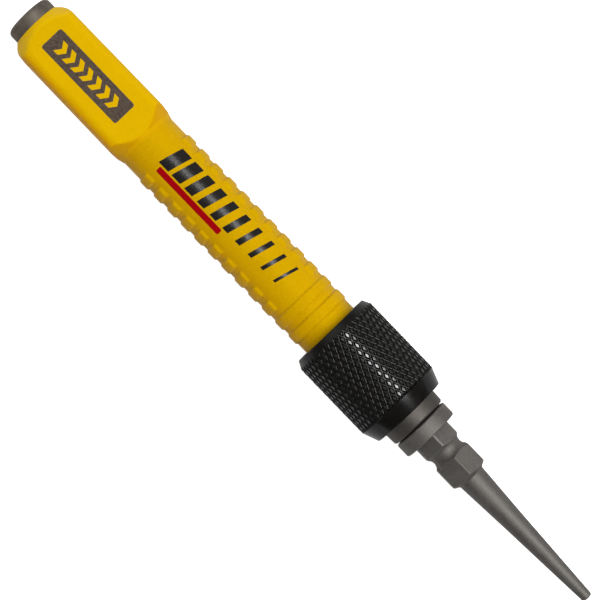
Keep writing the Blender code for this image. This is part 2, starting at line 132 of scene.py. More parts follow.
COLLAR_RADIUS = SHELL_BOX[1].z
COLLAR_FRONT_RADIUS = 7.95 * MM
COLLAR_REAR_RADIUS = 8.35 * MM
COLLAR_FRONT_CONE = 3.3 * MM
COLLAR_REAR_CONE = 1.65 * MM
BUSH_RADIUS = BUSH_BOX[1].z
BUSH_NOSE_RADIUS = 6.1 * MM
BUSH_NOSE_ROOT_RADIUS = 6.2 * MM
BUSH_NOSE_CHAMFER = 0.3 * MM
BUSH_NOSE_RECESS = 0.2 * MM
RELIEF_RADIUS = 6.6 * MM           # hollow in the bush, ahead of its land
RELIEF_START_X = 51.0 * MM
RELIEF_END_X = 55.45 * MM
LAND_START_X = 55.7 * MM
SHOULDER_GAP = 0.3 * MM            # between the bush and the shell's inner shoulder
LIP_BORE_RADIUS = 6.5 * MM
LIP_THICKNESS = 0.7 * MM
SPRING_CAVITY_RADIUS = 7.15 * MM
SPRING_WIRE_RADIUS = 0.42 * MM
SPRING_END_PITCH = 0.95 * MM
SPRING_OPEN_TURNS = 3
SPRING_STEPS = 32                  # mesh steps to a turn

KNURL_STARTS = 47
KNURL_PERIOD = 2.67 * MM           # along the axis
KNURL_DEPTH = 0.2 * MM
KNURL_CELLS = 13                   # mesh cells to a period, both ways
KNURL_GROOVE_SHARE = 4 / KNURL_CELLS  # half a groove's width, as a share of the period
KNURL_RUN_OUT = 0.25 * MM          # length over which the grooves end
KNURL_REAR_OVERLAP = 1.0 * MM      # how far the grooves run onto the rear cone
KNURL_SHARP_DEGREES = 28

GRIP_FRONT_X = GRIP_BOX[0].x
HEAD_END_X = GRIP_BOX[1].x
HEAD_HALF = GRIP_BOX[1].y
GRIP_RADIUS = 6.15 * MM
GRIP_SPACING = 0.16 * MM           # mesh step along the grip
SLEEVE_SWELL = 0.06 * MM           # the sleeve is this much thicker in its middle and front
SLEEVE_SWELL_X = (95.0 * MM, 117.0 * MM)
RIB_PITCH = 3.715 * MM
RIB_HEIGHT = 0.43 * MM
RIB_TOP_WIDTH = 1.7 * MM
RIB_BASE_WIDTH = 2.67 * MM
FIRST_RIB_X = 74.55 * MM
FULL_RIBS = 2
PAD_RIBS = 10
PAD_START_ANGLE = math.radians(48.6)
PAD_RAMP_ANGLE = math.radians(6.0)
HEAD_CORNER_RADIUS = 1.9 * MM
HEAD_START_X = 120.9 * MM
HEAD_FLATS_START_X = 122.0 * MM
HEAD_CORNERS_START_X = 124.4 * MM
HEAD_CHAMFER_X = 150.2 * MM
HEAD_END_RADIUS = 5.1 * MM
HEAD_BLEND = 0.3 * MM              # rounding between the head's flats and its turned ends
HEAD_END_BLEND = 0.7 * MM          # the same at the struck end
HEAD_END_BLEND_LENGTH = 3.0 * MM
HEAD_DRAFT = 0.06 * MM             # added to the half width at the sleeve, taken off at the end

# Printed marks on the +Z side; "up" is towards -Y
BADGE_X = (127.15 * MM, 147.35 * MM)
BADGE_UP = (-2.58 * MM, 2.58 * MM)
BADGE_CORNER = 0.5 * MM
CHEVRONS_X = (129.2 * MM, 145.4 * MM)
CHEVRONS_UP = (-1.36 * MM, 1.36 * MM)
CHEVRON_COUNT = 7
CHEVRON_SHARE = 0.26               # half a chevron's width, as a share of their spacing
CHEVRON_SLANT = 0.7                # how far a chevron leans along X for each step off its middle
BARS_X = (82.9 * MM, 116.3 * MM)
BARS_UP = (-1.6 * MM, 3.5 * MM)
BAR_COUNT = 10
BAR_SLANT = 0.25
BAR_WIDTHS = (2.7 * MM, 0.5 * MM)  # broad bars by the head, thin ones by the collar
PRINT_EDGE = 0.03 * MM             # softness of a printed edge
PRINT_WOBBLE = 0.05 * MM           # how far a printed edge strays
STRIPE_X = (98.75 * MM, 115.55 * MM)
STRIPE_UP = (-3.15 * MM, -1.95 * MM)
STRIPE_CORNER = 0.3 * MM


# ---------------------------------------------------------------- outlines and meshes

def filleted(outline, steps=5):
    """(x, r) points from (x, r, fillet) corners; each fillet is drawn as an arc."""
    points = []
    for index, (x, r, fillet) in enumerate(outline):
        corner = np.array((x, r))
        if fillet == 0 or index in (0, len(outline) - 1):
            points.append(corner)
            continue
        back = np.array(outline[index - 1][:2]) - corner
        ahead = np.array(outline[index + 1][:2]) - corner
        back_length = np.linalg.norm(back)
        ahead_length = np.linalg.norm(ahead)
        back = back / back_length
        ahead = ahead / ahead_length
        opening = math.acos(max(-1.0, min(1.0, float(back @ ahead))))
        run = min(fillet / math.tan(opening / 2), 0.49 * back_length, 0.49 * ahead_length)
        radius = run * math.tan(opening / 2)
        middle = (back + ahead) / np.linalg.norm(back + ahead)
        centre = corner + middle * radius / math.sin(opening / 2)
        first = corner + back * run - centre
        last = corner + ahead * run - centre
        sweep = math.pi - opening
        for step in range(steps + 1):
            share = step / steps
            arm = first * math.sin((1 - share) * sweep) + last * math.sin(share * sweep)
            points.append(centre + arm / math.sin(sweep))
    return points


def densified(points, spacing):
    """The same outline with no stretch longer than the spacing."""
    dense = [np.array(points[0])]
    for start, end in zip(points, points[1:]):
        start = np.array(start)
        end = np.array(end)
        count = max(1, math.ceil(np.linalg.norm(end - start) / spacing))
        for step in range(1, count + 1):
            dense.append(start + (end - start) * step / count)
    return dense


def arc(centre_x, centre_r, radius, start, end, steps):
    """Points of an arc in the (x, r) plane; angles in degrees from +x towards +r."""
    angles = np.radians(np.linspace(start, end, steps + 1))
    return [
        np.array((centre_x + radius * math.cos(a), centre_r + radius * math.sin(a))) for a in angles
    ]


def soft_min(first, second, width):
    """The smaller of two radii, rounded off where they meet."""
    share = np.clip(0.5 + 0.5 * (second - first) / width, 0.0, 1.0)
    return second + (first - second) * share - width * share * (1 - share)


def clamped(value):
    return min(max(value, 0), 1)


def eased(share):
    """A share from 0 to 1 with a soft start and end."""
    return share * share * (3 - 2 * share)


def even_angles(count):
    return np.arange(count) * FULL / count


def corner_angles(corners, count):
    """Even angles, with extra ones close to each of the corners (radians)."""
    offsets = np.radians([0.4, 0.9, 1.5, 2.2, 3.0])
    near = np.concatenate([-offsets[::-1], [0.0], offsets])
    chosen = [corner + offset for corner in corners for offset in near]
    for angle in even_angles(count):
        gaps = [abs((angle - corner + math.pi) % FULL - math.pi) for corner in corners]
        if min(gaps) > offsets[-1] + math.radians(0.5):
            chosen.append(angle)
    return np.sort(np.mod(chosen, FULL))


def hex_reach(angles, flats, rounding):
    """Radius of a hexagon with a corner towards +Z, its edges rounded."""
    reaches = []
    for side in range(6):
        lean = np.cos(angles - math.radians(30 + 60 * side))
        reaches.append(np.where(lean > 0.1, flats / 2 / np.maximum(lean, 0.1), 1.0))
    reaches = np.sort(np.array(reaches), axis=0)
    return soft_min(reaches[0], reaches[1], rounding)


def square_reach(angles):
    """Radius of the head's square with its rounded corners, flats towards Y and Z."""
    folded = np.abs((angles + math.pi / 4) % (math.pi / 2) - math.pi / 4)
    inset = HEAD_HALF - HEAD_CORNER_RADIUS
    along = inset * (np.cos(folded) + np.sin(folded))
    on_arc = along + np.sqrt(np.maximum(HEAD_CORNER_RADIUS**2 - 2 * inset**2 + along**2, 0))
    arc_start = math.atan2(inset, HEAD_HALF)
    return np.where(folded > arc_start, on_arc, HEAD_HALF / np.cos(folded))


def ring(x, radii, angles):
    """Points round the axis; angle 0 is +Z and a quarter turn is +Y."""
    radii = np.broadcast_to(radii, angles.shape)
    return np.column_stack(
        [np.full(angles.shape, x), radii * np.sin(angles), radii * np.cos(angles)]
    )


def finish_mesh(name, verts, faces, sharp_degrees=35):
    mesh = bpy.data.meshes.new(name)
    mesh.from_pydata([tuple(v) for v in verts], [], faces)
    mesh.validate()
    mesh.shade_smooth()
    mesh.set_sharp_from_angle(angle=math.radians(sharp_degrees))
    made = bpy.data.objects.new(name, mesh)
    bpy.context.scene.collection.objects.link(made)
    return made


def skin(name, rings, closed, sharp_degrees=35):
    """Quads between rings. Closed joins the last ring to the first; open ends get poles."""
    count = len(rings[0])
    verts = np.concatenate(rings)
    faces = []
    pairs = list(zip(range(len(rings)), range(1, len(rings))))
    if closed:
        pairs.append((len(rings) - 1, 0))
    for first, second in pairs:
        for index in range(count):
            following = (index + 1) % count
            faces.append(
                (
                    first * count + index,
                    first * count + following,
                    second * count + following,
                    second * count + index,
                )
            )
    if not closed:
        poles = [rings[0].mean(axis=0), rings[-1].mean(axis=0)]
        verts = np.concatenate([verts, poles])
        last = (len(rings) - 1) * count
        front_pole = len(rings) * count
        for index in range(count):
            following = (index + 1) % count
            faces.append((front_pole, following, index))
            faces.append((front_pole + 1, last + index, last + following))
    return finish_mesh(name, verts, faces, sharp_degrees)


def turned(name, points, count=128):
    """A closed (x, r) outline turned round the axis."""
    angles = even_angles(count)
    rings = [ring(x, max(r, AXIS_RADIUS), angles) for x, r in points]
    return skin(name, rings, closed=True)


def wire(name, path, radius, sides=16):
    """A round wire along points that run about the X axis, with flat ends."""
    rings = []
    for index, point in enumerate(path):
        along = path[min(index + 1, len(path) - 1)] - path[max(index - 1, 0)]
        along = along / np.linalg.norm(along)
        outward = np.array((0.0, point[1], point[2]))
        outward = outward - along * (outward @ along)
        outward = outward / np.linalg.norm(outward)
        across = np.cross(along, outward)
        turn = even_angles(sides)[:, None]
        rings.append(point + radius * (outward * np.cos(turn) + across * np.sin(turn)))
    return skin(name, rings, closed=False)


def fix_normals(made):
    """Turn the faces of a closed mesh outwards."""
    bm = bmesh.new()
    bm.from_mesh(made.data)
    bmesh.ops.recalc_face_normals(bm, faces=bm.faces)
    bm.to_mesh(made.data)
    bm.free()


def place(made, body, node, material):
    """Ride on a body, stand for a CAD node and take a material."""
    fix_normals(made)
    made.data.materials.clear()
    made.data.materials.append(material)
    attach(made, body)
    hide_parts(node)


# ---------------------------------------------------------------- the pieces
#
# Outlines are lists of (x, r, fillet) corners; filleted() rounds each corner by its fillet.

def bit_outline():
    """The bit as if it were turned: its front, its two ring grooves and its rear."""
    clear = HEX_FLATS / math.sqrt(3) + HEX_CORNER_GAP
    arc_centre = GROOVE_FLOOR_RADIUS + GROOVE_ARC_RADIUS
    reach = math.degrees(math.asin((arc_centre - clear) / GROOVE_ARC_RADIUS))
    waist_radius = TIP_RADIUS + (SHANK_RADIUS - TIP_RADIUS) * TAPER_WAIST_X / TAPER_LENGTH
    front = filleted(
        [
            (0, 0, 0),
            (0, TIP_RADIUS, 0.5 * MM),
            (TAPER_WAIST_X, waist_radius - TAPER_WAIST_SINK, 40 * MM),
            (TAPER_LENGTH, SHANK_RADIUS, 0.5 * MM),
            (HEX_START_X, clear, 0),
        ],
        steps=8,
    )
    middle = []
    for groove_x in (HEX_START_X + GROOVE_FROM_HEX_END, LOCK_X):
        middle += arc(groove_x, arc_centre, GROOVE_ARC_RADIUS, 180 + reach, 360 - reach, 24)
    rear = filleted(
        [
            (HEX_END_X, clear, 0),
            (HEX_END_X + SHOULDER_LENGTH, SHANK_RADIUS, 0.5 * MM),
            (BIT_LENGTH, SPARE_TIP_RADIUS, 0.5 * MM),
            (BIT_LENGTH, 0, 0),
        ],
        steps=8,
    )
    return front, middle, rear


def make_bit(material):
    angles = corner_angles(HEX_CORNERS, 144)
    limit = hex_reach(angles, HEX_FLATS, HEX_EDGE)
    front, middle, rear = bit_outline()
    points = front[:-1]
    points += densified([front[-2], front[-1], middle[0]], HEX_SPACING)[1:]
    points += middle[1:]
    points += densified([rear[0], rear[1]], HEX_SPACING)
    points += rear[2:]
    rings = []
    for x, r in points:
        turned_radii = np.full(angles.shape, max(r, AXIS_RADIUS))
        rings.append(ring(x, soft_min(turned_radii, limit, HEX_END_BLEND), angles))
    made = skin("bit_surface", rings, closed=False, sharp_degrees=60)
    place(made, "bit", "punch_bit", material)


def make_core(material):
    angles = corner_angles(HEX_CORNERS, 96)
    outline = [
        (STRIKE_X, 0, 0),
        (STRIKE_X, BAR_RADIUS, 1.0 * MM),
        (GRIP_FRONT_X - GUIDE_END_GAP, BAR_RADIUS, 0),
        (GRIP_FRONT_X - GUIDE_END_GAP, GUIDE_RADIUS, 0.05 * MM),
        (CAGE_END_X, GUIDE_RADIUS, 0.1 * MM),
        (CAGE_END_X, CAGE_RADIUS, 0.15 * MM),
        (CAGE_START_X, CAGE_RADIUS, 0.2 * MM),
        (CAGE_START_X, BARREL_RADIUS, 0.1 * MM),
        (NOSE_SEAT_END_X, BARREL_RADIUS, 0.05 * MM),
        (NOSE_SEAT_END_X, NOSE_SEAT_RADIUS, 0.05 * MM),
        (SNAP_GROOVE_END_X, NOSE_SEAT_RADIUS, 0),
        (SNAP_GROOVE_END_X, SNAP_GROOVE_FLOOR, 0),
        (SNAP_GROOVE_START_X, SNAP_GROOVE_FLOOR, 0),
        (SNAP_GROOVE_START_X, NOSE_SEAT_RADIUS, 0),
        (NOSE_X, NOSE_SEAT_RADIUS, 0.2 * MM),
        (NOSE_X, NOSE_BORE_EDGE_RADIUS, 0),
    ]
    rings = [ring(x, max(r, AXIS_RADIUS), angles) for x, r in filleted(outline, 6)]
    socket = hex_reach(angles, HEX_FLATS + 2 * SOCKET_CLEARANCE, SOCKET_EDGE)
    for step in range(MOUTH_STEPS + 1):
        lead = MOUTH_DEPTH * step / MOUTH_STEPS
        cone = np.full(angles.shape, MOUTH_RADIUS - lead * MOUTH_SLOPE)
        rings.append(ring(NOSE_X + lead, -soft_min(-cone, -socket, MOUTH_BLEND), angles))
    floor_x = HEX_END_X + SHOULDER_LENGTH + FIT
    rings.append(ring(floor_x, socket, angles))
    rings.append(ring(floor_x, WELL_RADIUS, angles))
    rings.append(ring(WELL_END_X, WELL_RADIUS, angles))
    rings.append(ring(WELL_END_X + WELL_RADIUS / 2, AXIS_RADIUS, angles))
    made = skin("core_surface", rings, closed=False)
    place(made, "handle", "core", material)


def make_grip(material):
    angles = even_angles(240)
    outer = HEAD_HALF * math.sqrt(2)
    corner_reach = (HEAD_HALF - HEAD_CORNER_RADIUS) * math.sqrt(2) + HEAD_CORNER_RADIUS
    shoulder_slope = (corner_reach - HEAD_HALF) / (HEAD_CORNERS_START_X - HEAD_FLATS_START_X)
    outline = filleted(
        [
            (GRIP_FRONT_X, BAR_RADIUS + FIT, 0),
            (GRIP_FRONT_X, GRIP_RADIUS, 0.15 * MM),
            (HEAD_START_X, GRIP_RADIUS, 0.8 * MM),
            (HEAD_FLATS_START_X, HEAD_HALF, 0.3 * MM),
            (HEAD_FLATS_START_X + (outer - HEAD_HALF) / shoulder_slope, outer, 0),
            (HEAD_CHAMFER_X - (outer - HEAD_HALF), outer, 0),
            (HEAD_END_X, HEAD_END_RADIUS, 0.15 * MM),
            (HEAD_END_X, BAR_RADIUS + FIT, 0),
        ],
        steps=6,
    )
    limit = square_reach(angles)
    from_side = np.abs((angles % math.pi) - math.pi / 2)
    pad_edge = math.pi / 2 - PAD_START_ANGLE
    pad = eased(np.clip((pad_edge + PAD_RAMP_ANGLE / 2 - from_side) / PAD_RAMP_ANGLE, 0, 1))
    ramp = (RIB_BASE_WIDTH - RIB_TOP_WIDTH) / 2
    swell_start, swell_end = SLEEVE_SWELL_X
    rings = []
    for x, r in densified(outline, GRIP_SPACING):
        index = round((x - FIRST_RIB_X) / RIB_PITCH)
        rise = 0.0
        if 0 <= index < FULL_RIBS + PAD_RIBS and r > GRIP_RADIUS - 0.01 * MM:
            off = abs(x - FIRST_RIB_X - index * RIB_PITCH)
            rise = eased(clamped((RIB_BASE_WIDTH / 2 - off) / ramp)) * RIB_HEIGHT
        if r > GRIP_RADIUS - 0.5 * MM and x < HEAD_START_X:
            r += SLEEVE_SWELL * clamped((swell_end - x) / (swell_end - swell_start))
        around = np.ones(angles.shape) if index < FULL_RIBS else pad
        head_share = clamped((HEAD_CHAMFER_X - x) / (HEAD_CHAMFER_X - HEAD_FLATS_START_X))
        square = limit + HEAD_DRAFT * (2 * head_share - 1)
        end_share = clamped((x - HEAD_CHAMFER_X) / HEAD_END_BLEND_LENGTH + 1)
        blend = HEAD_BLEND + (HEAD_END_BLEND - HEAD_BLEND) * end_share
        radii = soft_min(np.full(angles.shape, r) + rise * around, square, blend)
        if r < HEAD_END_RADIUS and x > HEAD_START_X:
            radii = np.full(angles.shape, r)
        rings.append(ring(x, radii, angles))
    made = skin("grip_surface", rings, closed=True)
    place(made, "handle", "grip", material)


def collar_envelope(x):
    """Outside radius of the collar with no knurl."""
    front_x = SHELL_BOX[0].x
    rear_x = SHELL_BOX[1].x
    front_slope = (COLLAR_RADIUS - COLLAR_FRONT_RADIUS) / COLLAR_FRONT_CONE
    rear_slope = (COLLAR_RADIUS - COLLAR_REAR_RADIUS) / COLLAR_REAR_CONE
    front = COLLAR_FRONT_RADIUS + (x - front_x) * front_slope
    rear = COLLAR_REAR_RADIUS + (rear_x - x) * rear_slope
    return min(COLLAR_RADIUS, front, rear)


def knurl_depth(x, turn):
    """Depth of the crossed helical grooves; turn is the angle as a share of a full turn."""
    around = turn * KNURL_STARTS
    along = x / KNURL_PERIOD
    depths = []
    for phase in (around + along, around - along):
        from_groove = np.abs(phase - np.round(phase))
        depths.append(np.clip(1 - (from_groove / KNURL_GROOVE_SHARE)**2, 0, 1))
    front_gap = x - SHELL_BOX[0].x - COLLAR_FRONT_CONE
    rear_gap = SHELL_BOX[1].x - COLLAR_REAR_CONE + KNURL_REAR_OVERLAP - x
    run_out = clamped(min(front_gap, rear_gap) / KNURL_RUN_OUT)
    return KNURL_DEPTH * run_out * np.maximum(depths[0], depths[1])


def make_collar_shell(material):
    """Knurled shell: rows of cells split four ways, so every groove edge is a mesh edge."""
    front_x = SHELL_BOX[0].x
    rear_x = SHELL_BOX[1].x
    count = KNURL_STARTS * KNURL_CELLS
    angles = even_angles(count)
    half_cell = 0.5 / count
    step = KNURL_PERIOD / KNURL_CELLS
    first_row = math.floor((front_x + COLLAR_FRONT_CONE) / step)
    last_row = math.ceil((rear_x - COLLAR_REAR_CONE + KNURL_REAR_OVERLAP) / step)

    def surface(x, turns):
        envelope = np.full(turns.shape, collar_envelope(x))
        return np.minimum(COLLAR_RADIUS - knurl_depth(x, turns), envelope)

    rows = [index * step for index in range(first_row, last_row + 1)]
    rings = [ring(x, surface(x, angles / FULL), angles) for x in rows]
    centres = []
    for x in rows[:-1]:
        turns = angles / FULL + half_cell
        centres.append(ring(x + step / 2, surface(x + step / 2, turns), turns * FULL))
    shoulder_x = BUSH_BOX[1].x + SHOULDER_GAP
    rear_profile = filleted(
        [
            (rows[-1], collar_envelope(rows[-1]), 0),
            (rear_x, COLLAR_REAR_RADIUS, 0.25 * MM),
            (rear_x, LIP_BORE_RADIUS, 0.1 * MM),
            (rear_x - LIP_THICKNESS, LIP_BORE_RADIUS, 0),
            (rear_x - LIP_THICKNESS, SPRING_CAVITY_RADIUS, 0),
            (shoulder_x, SPRING_CAVITY_RADIUS, 0),
            (shoulder_x, BUSH_RADIUS + FIT, 0),
            (front_x, BUSH_RADIUS + FIT, 0),
            (front_x, COLLAR_FRONT_RADIUS, 0.2 * MM),
            (rows[0], collar_envelope(rows[0]), 0),
        ]
    )
    plain = [ring(x, r, angles) for x, r in rear_profile[1:-1]]
    verts = np.concatenate(rings + plain + centres)
    faces = []
    total = len(rings) + len(plain)
    centre_start = total * count
    for row in range(total):
        following_row = (row + 1) % total
        for index in range(count):
            following = (index + 1) % count
            corners = (
                row * count + index,
                row * count + following,
                following_row * count + following,
                following_row * count + index,
            )
            if row < len(rows) - 1:
                centre = centre_start + row * count + index
                for side in range(4):
                    faces.append((corners[side], corners[(side + 1) % 4], centre))
            else:
                faces.append(corners)
    made = finish_mesh("collar_shell_surface", verts, faces, KNURL_SHARP_DEGREES)
    place(made, "collar", "collar_shell", material)


def make_collar_bush(material):
    front_x = BUSH_BOX[0].x
    rear_x = BUSH_BOX[1].x
    root_x = SHELL_BOX[0].x + BUSH_NOSE_RECESS
    land = CAGE_RADIUS + FIT
    bore = BARREL_RADIUS + FIT
    outline = [
        (front_x, bore, 0),
        (front_x, BUSH_NOSE_RADIUS - BUSH_NOSE_CHAMFER, 0.05 * MM),
        (front_x + BUSH_NOSE_CHAMFER, BUSH_NOSE_RADIUS, 0.25 * MM),
        (root_x, BUSH_NOSE_ROOT_RADIUS, 0.08 * MM),
        (root_x, BUSH_RADIUS, 0.05 * MM),
        (rear_x, BUSH_RADIUS, 0.15 * MM),
        (rear_x, land, 0.15 * MM),
        (LAND_START_X, land, 0),
        (RELIEF_END_X, RELIEF_RADIUS, 0),
        (RELIEF_START_X, RELIEF_RADIUS, 0),
        (RELIEF_START_X, bore, 0),
        (front_x, bore, 0),
    ]
    made = turned("collar_bush_surface", filleted(outline)[:-1])
    place(made, "collar", "collar_bush", material)


def make_nose_ring(material):
    front_x = NOSE_BOX[0].x
    rear_x = NOSE_BOX[1].x
    bore = NOSE_SEAT_RADIUS + FIT
    radius = NOSE_BOX[1].z
    outline = [
        (front_x, bore, 0),
        (front_x, radius, 0.6 * MM),
        (rear_x, radius, 0.35 * MM),
        (rear_x, bore, 0),
        (SNAP_GROOVE_END_X, bore, 0),
        (SNAP_GROOVE_END_X, SNAP_GROOVE_ROOF, 0),
        (SNAP_GROOVE_START_X, SNAP_GROOVE_ROOF, 0),
        (SNAP_GROOVE_START_X, bore, 0),
        (front_x, bore, 0),
    ]
    made = turned("nose_ring_surface", filleted(outline, 8)[:-1])
    place(made, "handle", "nose_ring", material)


def make_spring(material):
    """The collar's spring, drawn at its free length; the real one shortens towards its seat as the
    collar slides back.
    """
    front_x = SPRING_BOX[0].x
    rear_x = SPRING_BOX[1].x
    wire_radius = SPRING_WIRE_RADIUS
    coil_radius = SPRING_BOX[1].z - wire_radius
    turns = SPRING_OPEN_TURNS + 2
    free_length = rear_x - front_x - 2 * wire_radius
    open_pitch = (free_length - 2 * SPRING_END_PITCH) / SPRING_OPEN_TURNS
    path = []
    x = front_x + wire_radius
    for index in range(turns * SPRING_STEPS + 1):
        turn = index / SPRING_STEPS
        angle = turn * FULL
        path.append(np.array((x, coil_radius * math.cos(angle), coil_radius * math.sin(angle))))
        is_open = 1 <= turn < turns - 1
        x += (open_pitch if is_open else SPRING_END_PITCH) / SPRING_STEPS
    made = wire("collar_spring_surface", path, wire_radius)
    place(made, "handle", "collar_spring", material)
    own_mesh(made)


# ---------------------------------------------------------------- colours
#
# Linear red, green and blue. A pair is the darker and the lighter tone of a mottled surface.

BIT_STEEL = (0.158, 0.148, 0.138)
BIT_STEEL_WORN = (0.29, 0.275, 0.26)
BUSH_STEEL = (0.1, 0.092, 0.083)
BUSH_STEEL_WORN = (0.17, 0.158, 0.147)
OXIDE = ((0.0022, 0.0018, 0.0015), (0.0045, 0.0038, 0.0032))
OXIDE_CREST = (0.004, 0.0035, 0.003)
OXIDE_WORN = (0.03, 0.028, 0.026)
BAR_STEEL = ((0.155, 0.132, 0.108), (0.245, 0.21, 0.175))
BAR_WORN = (0.4, 0.37, 0.34)
BAR_GAP_SHADE = (0.02, 0.018, 0.017)   # painted shade, everywhere ahead of the head, for the dark gaps around the collar and the nose ring
SPRING_STEEL = ((0.3, 0.29, 0.28), (0.45, 0.44, 0.42))
SLEEVE_YELLOW = ((0.565, 0.318, 0.0002), (0.6, 0.34, 0.0003))
HEAD_YELLOW = ((0.675, 0.4, 0.0002), (0.725, 0.43, 0.0003))
SHADED_YELLOW = (0.92, 0.42, 0.0002)  # on faces towards +Y
END_LIT_YELLOW = (0.95, 0.58, 0.002)   # painted light on the head's faces towards the struck end
TIP_SHADE_YELLOW = (0.62, 0.305, 0.0002)  # painted shade on the head's faces towards the tip
SPECKLE_YELLOW = (0.8, 0.48, 0.002)
EDGE_YELLOW = (0.9, 0.55, 0.004)
YELLOW_SHEEN = (1.0, 0.7, 0.02)
BADGE_INK = ((0.05, 0.035, 0.025), (0.12, 0.085, 0.063))
BAR_INK = (0.0045, 0.0032, 0.0022)
STRIPE_INK = (0.37, 0.0005, 0.0055)
FLOOR_TONES = ((0.68, 0.68, 0.68), (0.72, 0.72, 0.72))
WHITE = (1.0, 1.0, 1.0)

MOTTLE_RANGE = (0.3, 0.7)          # the part of a noise's range that a mottle spreads over
CREST_DEPTHS = (0.008 * MM, 0.002 * MM)  # depths over which the knurl turns to a crest
DEEP_DEPTHS = (0.08 * MM, 0.14 * MM)  # depths over which it turns to the floor of a groove
CONE_FADE = 0.1 * MM               # length over which the knurl's finish gives way to a cone's
BAR_WEAR_X = (STRIKE_X - 1.3 * MM, STRIKE_X - 0.9 * MM)  # worn edges start here
HEAD_PAINTED_LIGHT_X = (HEAD_START_X - 1.5 * MM, HEAD_START_X - 0.5 * MM)  # the head's painted light and shade start here


# ---------------------------------------------------------------- materials

class Nodes:
    """A small helper that adds nodes to one material and links them."""

    def __init__(self, name):
        self.material = bpy.data.materials.new(name)
        self.material.use_nodes = True
        self.tree = self.material.node_tree
        self.shader = self.tree.nodes["Principled BSDF"]

    def add(self, kind, inputs=(), **settings):
        made = self.tree.nodes.new(kind)
        for key, value in settings.items():
            setattr(made, key, value)
        for key, value in dict(inputs).items():
            self.put(made.inputs[key], value)
        return made

    def put(self, socket, value):
        if isinstance(value, bpy.types.NodeSocket):
            self.tree.links.new(value, socket)
        elif isinstance(value, bpy.types.Node):
            self.tree.links.new(value.outputs[0], socket)
        else:
            socket.default_value = value

    def set(self, **inputs):
        for key, value in inputs.items():
            self.put(self.shader.inputs[key.replace("_", " ")], value)

    def math(self, operation, first, second=0.0, third=0.0):
        return self.add(
            "ShaderNodeMath", {0: first, 1: second, 2: third}, operation=operation
        ).outputs[0]

    def coords(self):
        return self.add("ShaderNodeTexCoord").outputs["Object"]

    def split(self, vector):
        return self.add("ShaderNodeSeparateXYZ", {0: vector}).outputs

    def noise(self, vector, size, detail=4.0, roughness=0.6, stretch=(1, 1, 1)):
        """Noise of a given feature size in metres, 0 to 1."""
        scaled = self.add("ShaderNodeVectorMath", {0: vector, 1: stretch}, operation="MULTIPLY")
        return self.add(
            "ShaderNodeTexNoise",
            {"Vector": scaled, "Scale": 1.0 / size, "Detail": detail, "Roughness": roughness},
        ).outputs[0]

    def span(self, value, low, high, to_low=0.0, to_high=1.0):
        return self.add(
            "ShaderNodeMapRange",
            {
                "Value": value,
                "From Min": low,
                "From Max": high,
                "To Min": to_low,
                "To Max": to_high,
            },
            clamp=True,
        ).outputs[0]

    def mix(self, share, first, second):
        made = self.add("ShaderNodeMix", data_type="RGBA", blend_type="MIX")
        self.put(made.inputs[0], share)
        self.put(made.inputs[6], first if not isinstance(first, tuple) else (*first, 1.0))
        self.put(made.inputs[7], second if not isinstance(second, tuple) else (*second, 1.0))
        return made.outputs[2]

    def mottled(self, value, tones):
        """A pair of tones mixed by a noise."""
        return self.mix(self.span(value, *MOTTLE_RANGE), *tones)

    def radius(self, vector):
        """Distance from the tool's axis."""
        parts = self.split(vector)
        flat = self.add("ShaderNodeCombineXYZ", {0: 0.0, 1: parts[1], 2: parts[2]})
        return self.add("ShaderNodeVectorMath", {0: flat}, operation="LENGTH").outputs["Value"]

    def bump(self, height, distance, strength=1.0, normal=None):
        made = self.add(
            "ShaderNodeBump", {"Height": height, "Distance": distance, "Strength": strength}
        )
        if normal is not None:
            self.put(made.inputs["Normal"], normal)
        return made.outputs[0]

    def edges(self, low, high):
        """1 on convex edges, 0 elsewhere."""
        pointiness = self.add("ShaderNodeNewGeometry").outputs["Pointiness"]
        return self.span(pointiness, low, high)


def blasted_steel(name, colour, worn, roughness):
    """Grit-blasted steel, worn lighter on its edges."""
    nodes = Nodes(name)
    where = nodes.coords()
    mottle = nodes.noise(where, 3.0 * MM, 5.0, 0.6)
    fine = nodes.noise(where, 0.3 * MM, 4.0, 0.75)
    dark = tuple(c * 0.84 for c in colour)
    light = tuple(min(1.0, c * 1.16) for c in colour)
    base = nodes.mottled(mottle, (dark, light))
    base = nodes.mix(nodes.span(fine, 0.35, 0.65, 0.0, 0.4), base, worn)
    base = nodes.mix(nodes.math("MULTIPLY", nodes.edges(0.51, 0.56), 0.8), base, worn)
    rough = nodes.span(mottle, *MOTTLE_RANGE, roughness - 0.04, roughness + 0.04)
    nodes.set(Base_Color=base, Metallic=1.0, Roughness=rough)
    nodes.put(nodes.shader.inputs["Normal"], nodes.bump(fine, 0.05 * MM, 0.8))
    return nodes.material


